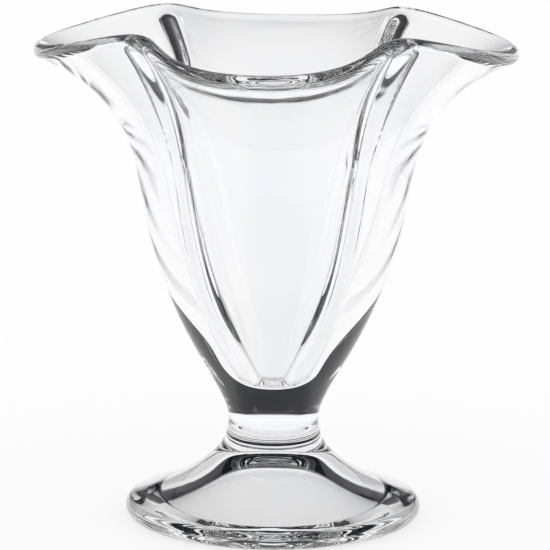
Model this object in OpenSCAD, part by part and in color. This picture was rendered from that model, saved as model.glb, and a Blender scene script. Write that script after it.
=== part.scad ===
// Footed sundae glass of clear pressed glass.
// A bowl with a rim of drooping lobes stands on a short waisted stem and a round hollow foot.
// Millimetres, +Z up, origin in the middle of the ring that the foot stands on.

/* [Rim] */
// Number of drooping lobes around the rim
lobes = 4; // [3:1:6]
// Axis to the middle of the lip, out on a lobe
lobe_r = 59; // [54:0.5:64]
// Axis to the middle of the lip, in a pinch between two lobes
pinch_r = 44.8; // [41:0.2:49]
// Height of the middle of the lip, out on a lobe
lobe_h = 119.5; // [114:0.5:124]
// Height of the middle of the lip, in a pinch
pinch_h = 125.2; // [121:0.2:131]
// Thickness of the rounded lip
lip_t = 3.9; // [3:0.1:5]
// Climb of the wall at the lip on a lobe, in degrees from level
lobe_climb = 18.5; // [10:0.5:28]
// Climb of the wall at the lip in a pinch, in degrees from level
pinch_climb = 52; // [40:1:64]
// Extra breadth of the lobes beside the pinches
lobe_breadth = 0.6; // [0.2:0.05:0.9]

/* [Outside of the bowl] */
// Outer radius at the belly, where the swelling wall turns into the flare
belly_r = 34.6; // [32:0.2:37]
// Height of the belly
belly_h = 87.6; // [83:0.2:93]
// Climb of the wall at the belly, in degrees from level
belly_climb = 81.5; // [77:0.5:87]
// Depth at the belly of the groove that runs down from a pinch
groove_depth = 2.4; // [1.2:0.2:3]
// Bluntness of the grooves, small for a sharp valley
groove_blunt = 0.1; // [0.06:0.02:0.3]

/* [Inside of the bowl] */
// Wall at the belly behind a lobe
belly_wall = 4.6; // [4:0.2:7]
// How far an inner ridge stands proud at the belly
ridge_depth = 2.4; // [1.2:0.2:3]
// Bluntness of the ridges, small for a sharp crest
ridge_blunt = 0.1; // [0.06:0.02:0.3]
// How far the narrow rib on an inner ridge stands proud
rib_height = 1.5; // [0.8:0.1:1.8]
// Width of the narrow rib
rib_width = 4; // [3:0.2:5]
// Depth below the lip over which a rib grows
rib_growth = 45; // [30:1:60]
// How far the fold in the inner wall below a pinch stands proud
fold_height = 2.6; // [1.6:0.2:3]
// Width of the fold
fold_width = 7; // [5:0.5:9]
// Depth below the lip over which the fold rises
fold_rise = 2; // [1.5:0.5:4]
// Depth below the lip down to which the fold keeps its height
fold_hold = 12; // [8:1:16]
// Further depth over which the fold fades
fold_fade = 20; // [12:1:30]
// Climb of the inner wall at the belly, in degrees from level
inside_climb = 76; // [72:1:82]
// Solid glass between the joint with the stem and the inside bottom
base_t = 8.9; // [7:0.1:11]
// Inner radius just above the inside bottom, behind a lobe
well_r = 7.3; // [6.5:0.2:8.1]
// How far an inner ridge stands proud at the inside bottom
well_ridge = 0.2; // [0:0.1:0.6]
// Height over which the wall rounds into the inside bottom
well_round = 4; // [3:0.2:4.8]
// Climb of the inner wall just above the inside bottom, in degrees from level
well_climb = 59; // [54:1:68]

/* [Stem] */
// Height of the joint between the stem and the bowl
stem_top_h = 28; // [26:0.5:31]
// Radius of the stem at the bowl
stem_top_r = 11.9; // [10.5:0.2:13.3]
// Climb of the outline at the bowl, in degrees from level
stem_top_climb = 73.5; // [69:0.5:82]
// Radius of the stem at the foot
stem_foot_r = 13.4; // [12.2:0.2:15]
// Climb of the outline at the foot, past 90 degrees because it leans inwards
stem_foot_climb = 121; // [112:1:130]

/* [Foot] */
// Radius of the foot
foot_r = 37.7; // [34:0.1:42]
// Height of the joint between the foot and the stem
foot_h = 18.4; // [16:0.2:20]
// Radius of the rounded outer edge
foot_edge_r = 2.5; // [2:0.1:3.5]
// Climb of the foot's top where it leaves the edge, past 90 degrees because it runs inwards
foot_top_climb = 163; // [156:1:167]
// Radius of the hollow under the foot
hollow_r = 27.3; // [23.1:0.3:29.1]
// Height of the hollow at the axis
hollow_h = 14.2; // [9:0.2:15]
// Climb of the hollow's wall at the standing ring, past 90 degrees because it runs inwards
hollow_climb = 158; // [150:1:164]

/* [Hidden] */

glass_tint = [0.90, 0.95, 0.96, 0.45];

// Steps along each stretch of an outline, and from a lobe's middle to a pinch
curve_steps = 10;
round_steps = 8;
well_steps = 4;
half_lobe_steps = 13;
revolve_steps = 96;

// Share of its chord that a curve keeps straight at each end
pull_joint = 0.17;
pull_belly_below = 0.59;
pull_belly_above = 0.365;
pull_lip = 0.37;
pull_lip_inside = 0.22;
pull_inside_above = 0.50;
pull_inside_below = 0.56;
pull_well_wall = 0.35;
pull_well = 0.75;
pull_stem = 0.34;
pull_foot_edge = 0.38;
pull_foot_top = 0.22;
pull_hollow_ring = 0.55;
pull_hollow_top = 0.33;

// How strongly the meridians crowd towards the pinches, where the wall turns fastest
crowding = 0.65;

// Share of the inside bottom's radius where a rib ends
rib_end = 0.6;

lip_r = lip_t / 2;
inside_h = stem_top_h + base_t;
meridians = 2 * lobes * half_lobe_steps;

function mix(a, b, share) = a + (b - a) * share;
function clamp(share) = max(0, min(1, share));
function heading(climb) = [cos(climb), sin(climb)];
function cubic(a, b, c, d, t) =
    pow(1 - t, 3) * a + 3 * pow(1 - t, 2) * t * b + 3 * (1 - t) * pow(t, 2) * c + pow(t, 3) * d;

// Curve from a to b that leaves at climb ca and arrives at climb cb, without its last point
function sweep(a, ca, b, cb, pull_a, pull_b, steps = curve_steps) =
    let (chord = norm(b - a))
    let (c = a + heading(ca) * chord * pull_a)
    let (d = b - heading(cb) * chord * pull_b)
    [for (i = [0:steps - 1]) cubic(a, c, d, b, i / steps)];

// Arc round a centre between two angles, without its last point
function arc(centre, r, from, to) =
    [for (i = [0:round_steps - 1]) centre + r * heading(mix(from, to, i / round_steps))];

// Angle of a meridian round the axis
function meridian_angle(m) =
    let (even = 360 * m / meridians)
    even + crowding * sin(lobes * even) * 180 / (PI * lobes);

// 1 in the middle of a lobe and 0 in a pinch, and the same broadened for the rim
function wave(angle) = (1 + cos(lobes * angle)) / 2;
function rim_share(w) = w + lobe_breadth * w * (1 - w);

// 1 in a pinch and 0 in the middle of a lobe, with a crest of that bluntness
function crest(w, blunt) = 1 - (sqrt(w + blunt * blunt) - blunt) / (sqrt(1 + blunt * blunt) - blunt);

// Rounded swelling of that width, at a distance aside from its middle
function swelling(aside, width) = exp(-pow(2 * aside / width, 2));

// A point of the inner wall at one angle, moved in by the fold and the narrow rib that run down from a pinch
function ribbed(p, angle, lip_h) =
    let (turn = 360 / lobes)
    let (aside = p[0] * sin(angle - turn * floor(angle / turn) - turn / 2))
    let (below = lip_h - p[1])
    let (end = clamp((p[0] / well_r - rib_end) / (1 - rib_end)))
    let (rib = rib_height * clamp(below / rib_growth) * end)
    let (fold = fold_height * clamp(below / fold_rise) * (1 - clamp((below - fold_hold) / fold_fade)))
    [p[0] - rib * swelling(aside, rib_width) - fold * swelling(aside, fold_width), p[1]];

// Outline of the bowl at one angle, as [radius, height] from the joint, over the lip and down inside
function bowl_outline(angle) =
    let (rim = rim_share(wave(angle)))
    let (ridge = crest(wave(angle), ridge_blunt))
    let (groove = crest(wave(angle), groove_blunt))
    let (lip = [mix(pinch_r, lobe_r, rim), mix(pinch_h, lobe_h, rim)])
    let (climb = mix(pinch_climb, lobe_climb, rim))
    let (joint = [stem_top_r, stem_top_h])
    let (belly = [belly_r - groove_depth * groove, belly_h])
    let (lip_under = lip + lip_r * heading(climb - 90))
    let (lip_over = lip + lip_r * heading(climb + 90))
    let (inner_belly = [belly_r - belly_wall - ridge_depth * ridge, belly_h])
    let (well = [well_r - well_ridge * ridge, inside_h + well_round])
    let (corner = [well_r - well_round / tan(well_climb), inside_h])
    let (centre = [0, inside_h])
    let (down = 180)
    let (inside = concat(
        sweep(lip_over, climb + down, inner_belly, inside_climb + down, pull_lip_inside, pull_inside_above),
        sweep(inner_belly, inside_climb + down, well, well_climb + down, pull_inside_below, pull_well_wall),
        [for (i = [0:well_steps - 1])
            cubic(well, mix(well, corner, pull_well), mix(centre, corner, pull_well), centre, i / well_steps)]
    ))
    concat(
        sweep(joint, stem_top_climb, belly, belly_climb, pull_joint, pull_belly_below),
        sweep(belly, belly_climb, lip_under, climb, pull_belly_above, pull_lip),
        arc(lip, lip_r, climb - 90, climb + 90),
        [for (p = inside) ribbed(p, angle, lip_over[1])]
    );

// Closed skin through the outlines at all meridians, with a flat fan over each end
module bowl_skin() {
    outlines = [for (m = [0:meridians - 1]) bowl_outline(meridian_angle(m))];
    rings = len(outlines[0]);
    ring_points = [
        for (k = [0:rings - 1])
        for (m = [0:meridians - 1])
        let (p = outlines[m][k])
        let (a = meridian_angle(m))
        [p[0] * cos(a), p[0] * sin(a), p[1]]
    ];
    under = len(ring_points);
    inside = under + 1;
    last = (rings - 1) * meridians;
    function next(m) = (m + 1) % meridians;
    under_faces = [for (m = [0:meridians - 1]) [under, m, next(m)]];
    inside_faces = [for (m = [0:meridians - 1]) [inside, last + next(m), last + m]];
    wall_faces = [
        for (k = [0:rings - 2])
        for (m = [0:meridians - 1])
        let (low = k * meridians)
        let (high = low + meridians)
        each [[low + m, high + m, high + next(m)], [low + m, high + next(m), low + next(m)]]
    ];
    polyhedron(
        points = concat(ring_points, [[0, 0, stem_top_h], [0, 0, inside_h]]),
        faces = concat(under_faces, wall_faces, inside_faces),
        convexity = 6
    );
}

module bowl() {
    color(glass_tint)
    bowl_skin();
}

module stem() {
    side = sweep(
        [stem_foot_r, foot_h], stem_foot_climb,
        [stem_top_r, stem_top_h], stem_top_climb, pull_stem, pull_stem
    );
    color(glass_tint)
    rotate_extrude($fn = revolve_steps)
    polygon(concat([[0, foot_h]], side, [[stem_top_r, stem_top_h], [0, stem_top_h]]));
}

module foot() {
    edge_centre = [foot_r - foot_edge_r, foot_edge_r];
    top_start = edge_centre + foot_edge_r * heading(foot_top_climb - 90);
    hollow = sweep([hollow_r, 0], hollow_climb, [0, hollow_h], 180, pull_hollow_ring, pull_hollow_top);
    edge = arc(edge_centre, foot_edge_r, -90, foot_top_climb - 90);
    top = sweep(
        top_start, foot_top_climb,
        [stem_foot_r, foot_h], stem_foot_climb, pull_foot_edge, pull_foot_top
    );
    color(glass_tint)
    rotate_extrude($fn = revolve_steps)
    polygon(concat(edge, top, [[stem_foot_r, foot_h], [0, foot_h], [0, hollow_h]],
        [for (i = [len(hollow) - 1:-1:0]) hollow[i]]));
}

bowl();
stem();
foot();
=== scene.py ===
"""Parfait glass of clear pressed glass: its visual model, its studio and its camera."""

import math

import bpy
import numpy as np
from bpy.props import FloatProperty, FloatVectorProperty, IntProperty, PointerProperty
from mathutils import Matrix, Vector


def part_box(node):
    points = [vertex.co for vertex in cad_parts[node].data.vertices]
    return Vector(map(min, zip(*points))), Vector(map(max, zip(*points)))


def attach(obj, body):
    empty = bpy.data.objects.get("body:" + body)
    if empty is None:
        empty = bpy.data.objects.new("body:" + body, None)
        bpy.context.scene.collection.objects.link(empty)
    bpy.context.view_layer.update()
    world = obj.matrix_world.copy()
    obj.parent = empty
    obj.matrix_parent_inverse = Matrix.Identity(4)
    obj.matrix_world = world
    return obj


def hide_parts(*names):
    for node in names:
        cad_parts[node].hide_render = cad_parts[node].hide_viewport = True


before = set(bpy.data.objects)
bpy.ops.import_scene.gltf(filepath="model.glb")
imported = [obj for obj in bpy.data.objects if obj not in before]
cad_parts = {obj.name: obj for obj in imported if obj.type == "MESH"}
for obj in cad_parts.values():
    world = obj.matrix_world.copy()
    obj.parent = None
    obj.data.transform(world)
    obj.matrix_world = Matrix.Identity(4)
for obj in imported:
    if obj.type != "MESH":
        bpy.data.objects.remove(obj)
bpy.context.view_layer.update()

bl_info = {
    "name": "Parfait glass",
    "version": (1, 0, 0),
    "blender": (4, 5, 0),
    "location": "View3D > Sidebar > Parfait",
    "description": "Builds a footed parfait glass with a lobed rim, and a plain studio around it",
    "category": "Object",
}

BODY = "root"
MM = 0.001

# Places that the solids give
BOWL_LOW, BOWL_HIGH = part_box("bowl")
STEM_LOW, STEM_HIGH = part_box("stem")
FOOT_LOW, FOOT_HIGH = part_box("foot")
LIP_THICKNESS = 3.9 * MM
LIP_RADIUS = LIP_THICKNESS / 2

# Slots of a piece's mesh: its own glass, and the faces where it is fused to its neighbour
GLASS_FACES = 0
FUSED_FACES = 1


# Properties


def length(name, description, default):
    """A length in metres."""
    return FloatProperty(name=name, description=description, default=default, unit="LENGTH", precision=5)


def climb(name, description, degrees):
    """The direction of an outline, measured up from level."""
    return FloatProperty(name=name, description=description, default=math.radians(degrees), subtype="ANGLE")


def share(name, description, default):
    """A plain ratio."""
    return FloatProperty(name=name, description=description, default=default, precision=3)


class RimSettings(bpy.types.PropertyGroup):
    """The lobed lip of the bowl."""

    lobes: IntProperty(name="Lobes", description="Drooping lobes around the rim", default=4, min=3, max=6)
    lip: length("Lip", "Thickness of the rounded lip", LIP_THICKNESS)
    lobe_radius: length("Lobe radius", "Axis to the middle of the lip on a lobe", BOWL_HIGH.x - LIP_RADIUS)
    pinch_radius: length("Pinch radius", "Axis to the middle of the lip in a pinch", 44.8 * MM)
    lobe_height: length("Lobe height", "Height of the middle of the lip on a lobe", 119.5 * MM)
    pinch_height: length("Pinch height", "Height of the lip's middle in a pinch", BOWL_HIGH.z - LIP_RADIUS)
    lobe_climb: climb("Lobe climb", "Climb of the wall at the lip on a lobe", 18.5)
    pinch_climb: climb("Pinch climb", "Climb of the wall at the lip in a pinch", 52)
    breadth: share("Breadth", "Extra breadth of the lobes beside the pinches", 0.6)


class BowlSettings(bpy.types.PropertyGroup):
    """The outer and inner wall of the bowl."""

    belly_radius: length("Belly radius", "Outer radius where the wall turns into the flare", 34.6 * MM)
    belly_height: length("Belly height", "Height of the belly", 87.6 * MM)
    belly_climb: climb("Belly climb", "Climb of the outer wall at the belly", 81.5)
    groove_depth: length("Groove depth", "Depth at the belly of the outer groove below a pinch", 2.4 * MM)
    groove_blunt: share("Groove bluntness", "Bluntness of the grooves, small for a sharp valley", 0.1)
    belly_wall: length("Belly wall", "Wall at the belly behind a lobe", 4.6 * MM)
    ridge_depth: length("Ridge depth", "How far an inner ridge stands proud at the belly", 2.4 * MM)
    ridge_blunt: share("Ridge bluntness", "Bluntness of the ridges, small for a sharp crest", 0.1)
    rib_height: length("Rib height", "How far the narrow rib on an inner ridge stands proud", 1.5 * MM)
    rib_width: length("Rib width", "Width of the narrow rib", 4 * MM)
    fold_height: length("Fold height", "How far the inner fold below a pinch stands proud", 2.6 * MM)
    fold_width: length("Fold width", "Width of the fold", 7 * MM)
    inside_climb: climb("Inside climb", "Climb of the inner wall at the belly", 76)
    inside_height: length("Inside height", "Height of the inside bottom", BOWL_LOW.z + 8.9 * MM)
    well_radius: length("Well radius", "Inner radius just above the inside bottom, behind a lobe", 7.3 * MM)
    well_ridge: length("Well ridge", "How far an inner ridge stands proud at the inside bottom", 0.2 * MM)
    well_round: length("Well rounding", "Height over which the wall rounds into the inside bottom", 4 * MM)
    well_climb: climb("Well climb", "Climb of the inner wall just above the inside bottom", 59)


class StemSettings(bpy.types.PropertyGroup):
    """The waisted stem between foot and bowl."""

    top_radius: length("Top radius", "Radius of the stem at the bowl", 11.9 * MM)
    top_height: length("Top height", "Height of the joint with the bowl", STEM_HIGH.z)
    top_climb: climb("Top climb", "Climb of the outline at the bowl", 73.5)
    foot_radius: length("Foot joint radius", "Radius of the stem at the foot", STEM_HIGH.x)
    foot_climb: climb("Foot joint climb", "Climb of the outline at the foot, leaning inwards", 121)


class FootSettings(bpy.types.PropertyGroup):
    """The round hollow foot."""

    radius: length("Radius", "Radius of the foot", FOOT_HIGH.x)
    height: length("Height", "Height of the joint with the stem", FOOT_HIGH.z)
    edge_radius: length("Edge radius", "Radius of the rounded outer edge", 2.5 * MM)
    top_climb: climb("Top climb", "Climb of the top where it leaves the edge, running inwards", 163)
    hollow_radius: length("Hollow radius", "Radius of the hollow under the foot", 27.3 * MM)
    hollow_height: length("Hollow height", "Height of the hollow at the axis", 14.2 * MM)
    hollow_climb: climb("Hollow climb", "Climb of the hollow's wall at the standing ring", 158)


class GlassSettings(bpy.types.PropertyGroup):
    """The clear glass."""

    colour: FloatVectorProperty(
        name="Colour",
        description="Tint of the clear glass",
        subtype="COLOR",
        size=3,
        default=(0.965, 0.972, 1.0),
    )
    ior: share("Refraction", "Refractive index of soda-lime glass", 1.52)
    polish: share("Polish", "Most roughness that the fire polish leaves", 0.02)
    ripple: length("Ripple", "Height of the ripples that pressing leaves in the surface", 0.08 * MM)
    shade: share("Shade", "Share of the light that passes a surface on its way to the floor", 0.92)


class StudioSettings(bpy.types.PropertyGroup):
    """Floor and camera."""

    floor_colour: FloatVectorProperty(
        name="Floor",
        description="Colour of the floor",
        subtype="COLOR",
        size=3,
        default=(0.99, 0.99, 0.99),
    )
    camera_distance: length("Camera distance", "Camera to the middle of the glass", 0.9)
    camera_turn: climb("Camera turn", "Camera's angle round the axis, from the front towards the right", 3.4)
    camera_climb: climb("Camera climb", "Camera's angle above level", 11.24)
    camera_roll: climb("Camera roll", "Camera's roll about its own axis", 0.4)
    camera_lens: share("Lens", "Focal length in millimetres on a 36 mm sensor", 232.2)


class ParfaitSettings(bpy.types.PropertyGroup):
    """All settings of the glass and its studio."""

    rim: PointerProperty(type=RimSettings)
    bowl: PointerProperty(type=BowlSettings)
    stem: PointerProperty(type=StemSettings)
    foot: PointerProperty(type=FootSettings)
    glass: PointerProperty(type=GlassSettings)
    studio: PointerProperty(type=StudioSettings)


# Outlines, as points (radius, height) for each meridian

# Steps along a curve, a rounding, the inside bottom, and from the middle of a lobe to a pinch
CURVE_STEPS = 44
ROUND_STEPS = 20
WELL_STEPS = 14
HALF_LOBE_STEPS = 44

# How strongly the meridians crowd towards the pinches
CROWDING = 0.6

# A rib grows over this depth below the lip, and ends at this share of the inside bottom's radius
RIB_GROWTH = 45 * MM
RIB_END = 0.6

# The fold below a pinch rises over a first depth, keeps its height down to a second and fades over a third
FOLD_RISE = 2 * MM
FOLD_HOLD = 12 * MM
FOLD_FADE = 20 * MM

# How far each curve follows its end direction, as a share of its chord
PULL_JOINT = 0.17
PULL_BELLY_BELOW = 0.59
PULL_BELLY_ABOVE = 0.365
PULL_LIP = 0.37
PULL_LIP_INSIDE = 0.22
PULL_INSIDE_ABOVE = 0.50
PULL_INSIDE_BELOW = 0.56
PULL_WELL_WALL = 0.35
PULL_WELL = 0.75
PULL_STEM = 0.34
PULL_FOOT = 0.38
PULL_FOOT_TOP = 0.22
PULL_HOLLOW = 0.55
PULL_HOLLOW_TOP = 0.33


def mix(a, b, amount):
    """The value between a and b at that share of the way."""
    return a + (b - a) * amount


def points(radius, height):
    """An array of (radius, height) with one row for each meridian."""
    return np.stack(np.broadcast_arrays(radius, height), axis=-1)


def heading(angle):
    """The unit direction of an outline at that climb, for each meridian."""
    return points(np.cos(angle), np.sin(angle))


def cubic(a, b, c, d, steps):
    """Points of a Bezier curve, without the last."""
    t = (np.arange(steps) / steps)[:, None, None]
    return (1 - t) ** 3 * a + 3 * (1 - t) ** 2 * t * b + 3 * (1 - t) * t**2 * c + t**3 * d


def sweep(a, climb_a, b, climb_b, pull_a, pull_b, steps=CURVE_STEPS):
    """Curve from a to b that leaves at one climb and arrives at another, without its last point."""
    chord = np.linalg.norm(b - a, axis=-1, keepdims=True)
    return cubic(a, a + heading(climb_a) * chord * pull_a, b - heading(climb_b) * chord * pull_b, b, steps)


def arc(centre, radius, start, end, steps=ROUND_STEPS):
    """Arc round a centre between two angles, without its last point."""
    turns = [mix(start, end, i / steps) for i in range(steps)]
    return np.stack([centre + radius * heading(turn) for turn in turns])


def meridians(lobes):
    """Angles round the axis, crowded towards the pinches, where the wall turns fastest."""
    even = np.arange(2 * lobes * HALF_LOBE_STEPS) * math.pi / (lobes * HALF_LOBE_STEPS)
    return even + CROWDING * np.sin(lobes * even) / lobes


def crest(wave, blunt):
    """1 in a pinch and 0 in the middle of a lobe, with a crest of that bluntness."""
    return 1 - (np.sqrt(wave + blunt**2) - blunt) / (math.sqrt(1 + blunt**2) - blunt)


def swelling(aside, width):
    """A rounded swelling of that width, at a distance aside from its middle."""
    return np.exp(-((2 * aside / width) ** 2))


def ribbed(wall, settings, angles):
    """The inner wall with the fold and the narrow rib that run down from each pinch."""
    rim, bowl = settings.rim, settings.bowl
    radius, height = wall[..., 0], wall[..., 1]
    turn = 2 * math.pi / rim.lobes
    aside = radius * np.sin(np.mod(angles, turn) - turn / 2)
    below = height[0] - height
    end = np.clip((radius / bowl.well_radius - RIB_END) / (1 - RIB_END), 0, 1)
    rib = bowl.rib_height * np.clip(below / RIB_GROWTH, 0, 1) * end
    fade = 1 - np.clip((below - FOLD_HOLD) / FOLD_FADE, 0, 1)
    fold = bowl.fold_height * np.clip(below / FOLD_RISE, 0, 1) * fade
    raised = rib * swelling(aside, bowl.rib_width) + fold * swelling(aside, bowl.fold_width)
    return points(radius - raised, height)


def bowl_outline(settings, angles):
    """From the joint up the outside, over the lip and down the inside to the bottom."""
    rim, bowl, stem = settings.rim, settings.bowl, settings.stem
    wave = (1 + np.cos(rim.lobes * angles)) / 2
    lobe = wave + rim.breadth * wave * (1 - wave)
    ridge, groove = crest(wave, bowl.ridge_blunt), crest(wave, bowl.groove_blunt)
    lip_radius = rim.lip / 2
    lip = points(mix(rim.pinch_radius, rim.lobe_radius, lobe), mix(rim.pinch_height, rim.lobe_height, lobe))
    lip_climb = mix(rim.pinch_climb, rim.lobe_climb, lobe)
    square = math.pi / 2
    even = np.zeros_like(angles)
    joint = points(even + stem.top_radius, stem.top_height)
    belly = points(bowl.belly_radius - bowl.groove_depth * groove, bowl.belly_height)
    lip_under = lip + lip_radius * heading(lip_climb - square)
    lip_over = lip + lip_radius * heading(lip_climb + square)
    inner_belly = points(bowl.belly_radius - bowl.belly_wall - bowl.ridge_depth * ridge, bowl.belly_height)
    well = points(bowl.well_radius - bowl.well_ridge * ridge, bowl.inside_height + bowl.well_round)
    corner = points(even + bowl.well_radius - bowl.well_round / math.tan(bowl.well_climb), bowl.inside_height)
    centre = points(even, bowl.inside_height)
    down = math.pi
    top_climb, belly_climb = even + stem.top_climb, even + bowl.belly_climb
    inside_down, well_down = even + bowl.inside_climb + down, even + bowl.well_climb + down
    inside = np.concatenate([
        sweep(lip_over, lip_climb + down, inner_belly, inside_down, PULL_LIP_INSIDE, PULL_INSIDE_ABOVE),
        sweep(inner_belly, inside_down, well, well_down, PULL_INSIDE_BELOW, PULL_WELL_WALL),
        cubic(well, mix(well, corner, PULL_WELL), mix(centre, corner, PULL_WELL), centre, WELL_STEPS),
    ])
    return np.concatenate([
        sweep(joint, top_climb, belly, belly_climb, PULL_JOINT, PULL_BELLY_BELOW),
        sweep(belly, belly_climb, lip_under, lip_climb, PULL_BELLY_ABOVE, PULL_LIP),
        arc(lip, lip_radius, lip_climb - square, lip_climb + square),
        ribbed(inside, settings, angles),
    ])


def stem_outline(settings, angles):
    """From the foot up to the bowl."""
    stem, foot = settings.stem, settings.foot
    even = np.zeros_like(angles)
    low = points(even + stem.foot_radius, foot.height)
    high = points(even + stem.top_radius, stem.top_height)
    side = sweep(low, even + stem.foot_climb, high, even + stem.top_climb, PULL_STEM, PULL_STEM)
    return np.concatenate([side, high[None]])


def foot_outline(settings, angles):
    """From the top of the hollow out to the standing ring, round the edge and up to the stem."""
    stem, foot = settings.stem, settings.foot
    even = np.zeros_like(angles)
    square = math.pi / 2
    ring = points(even + foot.hollow_radius, 0)
    dome = points(even, foot.hollow_height)
    hollow = sweep(ring, even + foot.hollow_climb, dome, even + math.pi, PULL_HOLLOW, PULL_HOLLOW_TOP)
    edge_centre = points(even + foot.radius - foot.edge_radius, foot.edge_radius)
    edge_end = even + foot.top_climb - square
    edge = arc(edge_centre, foot.edge_radius, even - square, edge_end)
    top_start = edge_centre + foot.edge_radius * heading(edge_end)
    joint = points(even + stem.foot_radius, foot.height)
    top = sweep(top_start, even + foot.top_climb, joint, even + stem.foot_climb, PULL_FOOT, PULL_FOOT_TOP)
    return np.concatenate([hollow[::-1], edge, top, joint[None]])


# Meshes

# Faces that meet at more than this angle show an edge
EDGE_ANGLE = math.radians(30)


def skin(name, outline, angles, first_cap, last_cap):
    """A closed mesh through an outline at all meridians, with a fan of that (height, slot) over each end."""
    first_height, first_slot = first_cap
    last_height, last_slot = last_cap
    rings, around = outline.shape[:2]
    radius, height = outline[..., 0], outline[..., 1]
    places = np.stack([radius * np.cos(angles), radius * np.sin(angles), height], axis=-1).reshape(-1, 3)
    vertices = places.tolist() + [(0, 0, first_height), (0, 0, last_height)]
    first, last = rings * around, rings * around + 1
    faces = []
    for ring in range(rings - 1):
        low = ring * around
        for here in range(around):
            after = (here + 1) % around
            faces.append((low + here, low + after, low + around + after, low + around + here))
    walls = len(faces)
    top = (rings - 1) * around
    for here in range(around):
        after = (here + 1) % around
        faces.append((first, after, here))
        faces.append((last, top + here, top + after))
    mesh = bpy.data.meshes.new(name)
    mesh.from_pydata(vertices, [], faces)
    slots = [GLASS_FACES] * walls + [first_slot, last_slot] * around
    mesh.polygons.foreach_set("material_index", slots)
    mesh.polygons.foreach_set("use_smooth", [True] * len(faces))
    mesh.set_sharp_from_angle(angle=EDGE_ANGLE)
    mesh.update()
    piece = bpy.data.objects.new(name, mesh)
    bpy.context.scene.collection.objects.link(piece)
    return piece


def dress(piece, node, settings):
    """Gives a piece its glass and puts it in the place of its solid."""
    piece.data.materials.append(clear_glass(settings.glass))
    piece.data.materials.append(fused_joint())
    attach(piece, BODY)
    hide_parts(node)


# Shaders

WHITE = (1, 1, 1, 1)

# Sockets of a Mix node that mixes colours
MIX_SHARE, MIX_FIRST, MIX_SECOND, MIX_RESULT = 0, 6, 7, 2


class Wire:
    """A node's output that takes part in Python arithmetic."""

    def __init__(self, tree, socket=None):
        self.tree = tree
        self.socket = socket

    def node(self, kind, settings=None, inputs=None, output=0):
        """Adds a node, sets its settings and then its sockets, and wraps one of its outputs."""
        made = self.tree.nodes.new(kind)
        for name, value in (settings or {}).items():
            setattr(made, name, value)
        for name, value in (inputs or {}).items():
            if isinstance(value, Wire):
                self.tree.links.new(value.socket, made.inputs[name])
            else:
                made.inputs[name].default_value = value
        return Wire(self.tree, made.outputs[output] if made.outputs else None)

    def other(self, output):
        """Another output of the same node."""
        return Wire(self.tree, self.socket.node.outputs[output])

    def math(self, operation, *terms):
        return self.node("ShaderNodeMath", {"operation": operation}, dict(enumerate(terms)))

    def __add__(self, other):
        return self.math("ADD", self, other)

    def __sub__(self, other):
        return self.math("SUBTRACT", self, other)

    def __rsub__(self, other):
        return self.math("SUBTRACT", other, self)

    def __mul__(self, other):
        return self.math("MULTIPLY", self, other)

    __radd__ = __add__
    __rmul__ = __mul__

    def most(self, other):
        return self.math("MAXIMUM", self, other)

    def step(self, low, high):
        """A soft step from 0 at low to 1 at high."""
        limits = {"Value": self, "From Min": low, "From Max": high}
        return self.node("ShaderNodeMapRange", {"interpolation_type": "SMOOTHSTEP"}, limits)

    def between(self, first, second):
        """The colour between two others, with this value as the share of the second."""
        colours = {MIX_SHARE: self, MIX_FIRST: first, MIX_SECOND: second}
        return self.node("ShaderNodeMix", {"data_type": "RGBA"}, colours, output=MIX_RESULT)


def material_tree(name):
    """A new material and an empty node tree to fill."""
    material = bpy.data.materials.new(name)
    material.use_nodes = True
    material.node_tree.nodes.clear()
    return material, Wire(material.node_tree)


# Swells of the pressed surface are drawn out along the axis, and a fine skin adds a share of their height
SWELL_STRETCH = (1, 1, 0.3)
SWELL_SCALE = 55
SKIN_SCALE = 260
SKIN_SHARE = 0.12

# Haze comes in patches, and the tint follows the swells, each over a range of its noise
HAZE_SCALE = 90
HAZE_RANGE = (0.5, 0.8)
TINT_RANGE = (0.3, 0.8)


def clear_glass(glass):
    """Fire-polished clear glass with the faint ripples of pressing, which lets light through to the floor."""
    name = "clear pressed glass"
    if name in bpy.data.materials:
        return bpy.data.materials[name]
    material, tree = material_tree(name)
    place = tree.node("ShaderNodeTexCoord", output="Object")
    drawn = tree.node("ShaderNodeMapping", inputs={"Vector": place, "Scale": SWELL_STRETCH})
    swells = {"Vector": drawn, "Scale": SWELL_SCALE, "Detail": 2, "Roughness": 0.4}
    swell = tree.node("ShaderNodeTexNoise", inputs=swells)
    skin_ripple = tree.node("ShaderNodeTexNoise", inputs={"Vector": place, "Scale": SKIN_SCALE, "Detail": 1})
    ripple = swell + SKIN_SHARE * skin_ripple
    bump = tree.node("ShaderNodeBump", inputs={"Height": ripple, "Strength": 1.0, "Distance": glass.ripple})
    patches = tree.node("ShaderNodeTexNoise", inputs={"Vector": place, "Scale": HAZE_SCALE, "Detail": 3})
    haze = patches.step(*HAZE_RANGE)
    tint = swell.step(*TINT_RANGE).between(WHITE, (*glass.colour, 1))
    glass_shader = tree.node("ShaderNodeBsdfPrincipled", inputs={
        "Base Color": tint,
        "Roughness": haze * glass.polish,
        "IOR": glass.ior,
        "Transmission Weight": 1.0,
        "Normal": bump,
    })
    through = tree.node("ShaderNodeBsdfTransparent", inputs={"Color": (glass.shade,) * 3 + (1,)})
    path = tree.node("ShaderNodeLightPath", output="Is Shadow Ray")
    to_floor = path.most(path.other("Is Diffuse Ray"))
    surface = tree.node("ShaderNodeMixShader", inputs={0: to_floor, 1: glass_shader, 2: through})
    tree.node("ShaderNodeOutputMaterial", inputs={"Surface": surface})
    return material


def fused_joint():
    """The faces where two elements are fused, which don't show."""
    name = "fused joint"
    if name in bpy.data.materials:
        return bpy.data.materials[name]
    material, tree = material_tree(name)
    clear = tree.node("ShaderNodeBsdfTransparent")
    tree.node("ShaderNodeOutputMaterial", inputs={"Surface": clear})
    return material


# Studio

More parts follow.
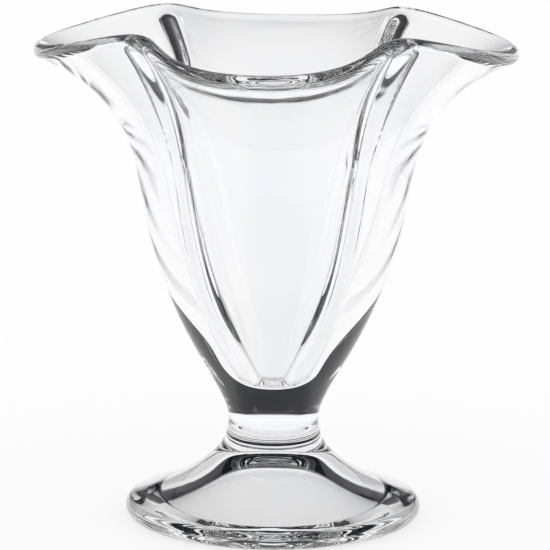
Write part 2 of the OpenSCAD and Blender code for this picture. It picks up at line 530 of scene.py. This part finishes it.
# Light crosses and turns back inside thick glass many times before it leaves
GLASS_BOUNCES = 24

# Above the floor the glass shows a white backdrop all round up to one climb, and a dark ceiling from another
BACKDROP_END = math.radians(4)
CEILING_START = math.radians(8)
DARK_CEILING = 0.01

# Colour of the darkest places, which are a little cool
COOL_BLACK = (0, 0.0004, 0.003, 1)

# The floor reaches this far each way, and lies a little below the standing ring
FLOOR_REACH = 8.0
FLOOR_DROP = 0.2 * MM

# The camera aims at this height on the axis, shifted a little in the picture
AIM_HEIGHT = 62 * MM
SHIFT_RIGHT = 0.14 * MM
SHIFT_UP = 0.21 * MM
SENSOR_WIDTH = 36
NEAREST = 10 * MM


def studio_world():
    """Even white light, with a dark ceiling that only the glass shows, alike from every side."""
    world = bpy.data.worlds.new("studio")
    bpy.context.scene.world = world
    world.use_nodes = True
    world.node_tree.nodes.clear()
    tree = Wire(world.node_tree)
    direction = tree.node("ShaderNodeTexCoord", output="Generated")
    height = tree.node("ShaderNodeSeparateXYZ", inputs={0: direction}, output="Z")
    ceiling = height.step(math.sin(BACKDROP_END), math.sin(CEILING_START))
    seen = mix(1.0, DARK_CEILING, ceiling)
    path = tree.node("ShaderNodeLightPath", output="Is Transmission Ray")
    by_glass = path.most(path.other("Is Glossy Ray"))
    shown = (1 - by_glass * (1 - seen)).between(COOL_BLACK, WHITE)
    background = tree.node("ShaderNodeBackground", inputs={"Color": shown})
    tree.node("ShaderNodeOutputWorld", inputs={"Surface": background})


def studio_floor(studio):
    """A wide plain floor that keeps the glass's shadow."""
    material, tree = material_tree("pale floor")
    surface = tree.node("ShaderNodeBsdfDiffuse", inputs={"Color": (*studio.floor_colour, 1)})
    tree.node("ShaderNodeOutputMaterial", inputs={"Surface": surface})
    reach = FLOOR_REACH
    mesh = bpy.data.meshes.new("floor")
    corners = [(-reach, -reach, 0), (reach, -reach, 0), (reach, reach, 0), (-reach, reach, 0)]
    mesh.from_pydata(corners, [], [(0, 1, 2, 3)])
    mesh.materials.append(material)
    floor = bpy.data.objects.new("floor", mesh)
    floor.location.z = -FLOOR_DROP
    bpy.context.scene.collection.objects.link(floor)


def studio_camera(studio):
    """The camera at the photograph's viewing angle."""
    aim = Vector((0, 0, AIM_HEIGHT))
    turn, rise = studio.camera_turn, studio.camera_climb
    back = Vector((math.cos(rise) * math.sin(turn), -math.cos(rise) * math.cos(turn), math.sin(rise)))
    data = bpy.data.cameras.new("camera")
    data.sensor_width = SENSOR_WIDTH
    data.lens = studio.camera_lens
    data.clip_start = NEAREST
    camera = bpy.data.objects.new("camera", data)
    place = aim + back * studio.camera_distance
    right = Vector((math.cos(turn), math.sin(turn), 0))
    up = right.cross(-back)
    look = (aim + right * SHIFT_RIGHT + up * SHIFT_UP - place).normalized()
    facing = look.to_track_quat("-Z", "Y").to_matrix().to_4x4()
    camera.matrix_world = Matrix.Translation(place) @ facing @ Matrix.Rotation(studio.camera_roll, 4, "Z")
    bpy.context.scene.collection.objects.link(camera)
    bpy.context.scene.camera = camera


# Operators


class PARFAIT_OT_bowl(bpy.types.Operator):
    """Make the lobed bowl"""

    bl_idname = "parfait.bowl"
    bl_label = "Bowl"

    def execute(self, context):
        settings = context.scene.parfait
        angles = meridians(settings.rim.lobes)
        outline = bowl_outline(settings, angles)
        joint, bottom = settings.stem.top_height, settings.bowl.inside_height
        piece = skin("parfait_bowl", outline, angles, (joint, FUSED_FACES), (bottom, GLASS_FACES))
        dress(piece, "bowl", settings)
        return {"FINISHED"}


class PARFAIT_OT_stem(bpy.types.Operator):
    """Make the waisted stem"""

    bl_idname = "parfait.stem"
    bl_label = "Stem"

    def execute(self, context):
        settings = context.scene.parfait
        angles = meridians(settings.rim.lobes)
        outline = stem_outline(settings, angles)
        low, high = settings.foot.height, settings.stem.top_height
        piece = skin("parfait_stem", outline, angles, (low, FUSED_FACES), (high, FUSED_FACES))
        dress(piece, "stem", settings)
        return {"FINISHED"}


class PARFAIT_OT_foot(bpy.types.Operator):
    """Make the round hollow foot"""

    bl_idname = "parfait.foot"
    bl_label = "Foot"

    def execute(self, context):
        settings = context.scene.parfait
        angles = meridians(settings.rim.lobes)
        outline = foot_outline(settings, angles)
        hollow, joint = settings.foot.hollow_height, settings.foot.height
        piece = skin("parfait_foot", outline, angles, (hollow, GLASS_FACES), (joint, FUSED_FACES))
        dress(piece, "foot", settings)
        return {"FINISHED"}


class PARFAIT_OT_studio(bpy.types.Operator):
    """Make the floor, the light and the camera"""

    bl_idname = "parfait.studio"
    bl_label = "Studio"

    def execute(self, context):
        scene = context.scene
        studio = scene.parfait.studio
        scene.view_settings.view_transform = "Standard"
        scene.cycles.max_bounces = GLASS_BOUNCES
        scene.cycles.transmission_bounces = GLASS_BOUNCES
        scene.cycles.glossy_bounces = GLASS_BOUNCES
        scene.cycles.transparent_max_bounces = GLASS_BOUNCES
        studio_world()
        studio_floor(studio)
        studio_camera(studio)
        return {"FINISHED"}


class VIEW3D_PT_parfait(bpy.types.Panel):
    """The settings and the steps that make the glass"""

    bl_label = "Parfait glass"
    bl_space_type = "VIEW_3D"
    bl_region_type = "UI"
    bl_category = "Parfait"

    def draw(self, context):
        settings = context.scene.parfait
        for part in settings.__annotations__:
            group = getattr(settings, part)
            box = self.layout.box()
            for name in group.__annotations__:
                box.prop(group, name)
        for operator in OPERATORS:
            self.layout.operator(operator.bl_idname)


OPERATORS = (PARFAIT_OT_bowl, PARFAIT_OT_stem, PARFAIT_OT_foot, PARFAIT_OT_studio)
GROUPS = (
    RimSettings,
    BowlSettings,
    StemSettings,
    FootSettings,
    GlassSettings,
    StudioSettings,
    ParfaitSettings,
)
CLASSES = (*GROUPS, *OPERATORS, VIEW3D_PT_parfait)


def register():
    for each in CLASSES:
        bpy.utils.register_class(each)
    bpy.types.Scene.parfait = PointerProperty(type=ParfaitSettings)


def unregister():
    del bpy.types.Scene.parfait
    for each in reversed(CLASSES):
        bpy.utils.unregister_class(each)


def main():
    register()
    bpy.ops.parfait.bowl()
    bpy.ops.parfait.stem()
    bpy.ops.parfait.foot()
    bpy.ops.parfait.studio()


if __name__ == "__main__":
    main()
